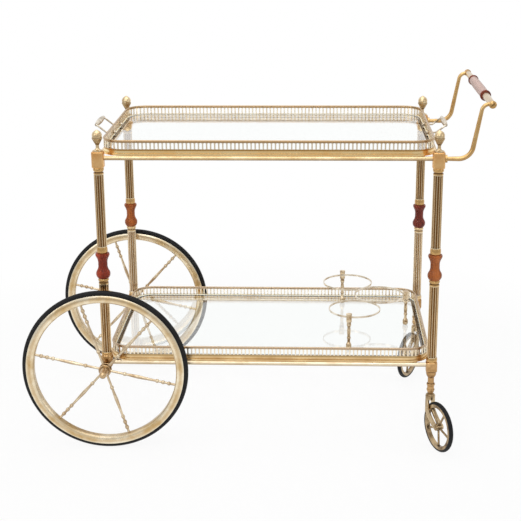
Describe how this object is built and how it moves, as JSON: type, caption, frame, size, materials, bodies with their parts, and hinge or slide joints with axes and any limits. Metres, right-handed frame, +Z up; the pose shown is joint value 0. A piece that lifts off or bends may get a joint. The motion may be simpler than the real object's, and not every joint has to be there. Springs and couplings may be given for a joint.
{
  "type": "bar cart",
  "caption": "Bar cart with glass trays in pierced galleries on fluted legs with turned wood spools, large spoked wheels at one end, swivel casters and a push handle at the other.",
  "frame": {"origin": "on the floor, midway along the overall length and midway between the front and back legs", "axes": "+X to the push handle, +Y to the back, +Z up"},
  "size_m": [0.9228, 0.5279, 0.706],
  "materials": {
    "bright_brass": "polished, lightly aged",
    "aged_brass": "satin, aged",
    "dark_brass": "aged, dark in the flutes",
    "red_brown_wood": "gloss lacquer",
    "rubber": "matte",
    "clear_glass": "clear, polished"
  },
  "bodies": {
    "frame": {"axle": "aged_brass", "axle_cap_nuts": "aged_brass", "back_left_foot": "aged_brass", "back_left_lower_column": "dark_brass", "back_left_upper_column": "dark_brass", "back_left_wood_spool": "red_brown_wood", "back_right_foot": "aged_brass", "back_right_lower_column": "dark_brass", "back_right_upper_column": "dark_brass", "back_right_wood_spool": "red_brown_wood", "bottle_posts": "aged_brass", "bottle_ring_back": "aged_brass", "bottle_ring_front": "aged_brass", "bottle_ring_right": "aged_brass", "finials": "aged_brass", "front_left_foot": "aged_brass", "front_left_lower_column": "dark_brass", "front_left_upper_column": "dark_brass", "front_left_wood_spool": "red_brown_wood", "front_right_foot": "aged_brass", "front_right_lower_column": "dark_brass", "front_right_upper_column": "dark_brass", "front_right_wood_spool": "red_brown_wood", "handle_arm_back": "aged_brass", "handle_arm_front": "aged_brass", "handle_bar": "aged_brass", "handle_ferrules": "aged_brass", "handle_grip": "red_brown_wood", "handle_screws": "aged_brass", "left_top_blocks": "aged_brass", "right_top_blocks": "aged_brass", "shelf_band": "bright_brass", "shelf_gallery": "bright_brass", "shelf_glass": "clear_glass", "shelf_long_rails": "bright_brass", "shelf_short_rail": "bright_brass", "tie_rods": "aged_brass", "top_long_rails": "bright_brass", "top_short_rails": "bright_brass"},
    "top_tray": {"tray_band": "bright_brass", "tray_gallery": "bright_brass", "tray_glass": "clear_glass", "tray_handle_left": "aged_brass", "tray_handle_right": "aged_brass"},
    "front_wheel": {"front_wheel_hub": "aged_brass", "front_wheel_rim": "bright_brass", "front_wheel_spokes": "aged_brass", "front_wheel_tyre": "rubber"},
    "back_wheel": {"back_wheel_hub": "aged_brass", "back_wheel_rim": "bright_brass", "back_wheel_spokes": "aged_brass", "back_wheel_tyre": "rubber"},
    "front_caster": {"front_caster_fork": "aged_brass", "front_caster_pin": "aged_brass"},
    "back_caster": {"back_caster_fork": "aged_brass", "back_caster_pin": "aged_brass"},
    "front_caster_roller": {"front_caster_tyre": "rubber", "front_caster_wheel": "aged_brass"},
    "back_caster_roller": {"back_caster_tyre": "rubber", "back_caster_wheel": "aged_brass"}
  },
  "joints": [
    {"name": "top_tray_lift", "type": "slide", "parent": "frame", "child": "top_tray", "axis": [0, 0, 1], "range_m": [0, 0.2]},
    {"name": "front_wheel_spin", "type": "hinge", "parent": "frame", "child": "front_wheel", "pos_m": [-0.29487, -0.222, 0.1665], "axis": [0, 1, 0], "continuous": true},
    {"name": "back_wheel_spin", "type": "hinge", "parent": "frame", "child": "back_wheel", "pos_m": [-0.29487, 0.222, 0.1665], "axis": [0, 1, 0], "continuous": true},
    {"name": "front_caster_swivel", "type": "hinge", "parent": "frame", "child": "front_caster", "pos_m": [0.35513, -0.192, 0.1116], "axis": [0, 0, 1], "continuous": true},
    {"name": "front_caster_spin", "type": "hinge", "parent": "front_caster", "child": "front_caster_roller", "pos_m": [0.37047, -0.22346, 0.051], "axis": [0.8988, 0.4384, 0], "continuous": true},
    {"name": "back_caster_swivel", "type": "hinge", "parent": "frame", "child": "back_caster", "pos_m": [0.35513, 0.192, 0.1116], "axis": [0, 0, 1], "continuous": true},
    {"name": "back_caster_spin", "type": "hinge", "parent": "back_caster", "child": "back_caster_roller", "pos_m": [0.33763, 0.16169, 0.051], "axis": [0.866, -0.5, 0], "continuous": true}
  ]
}
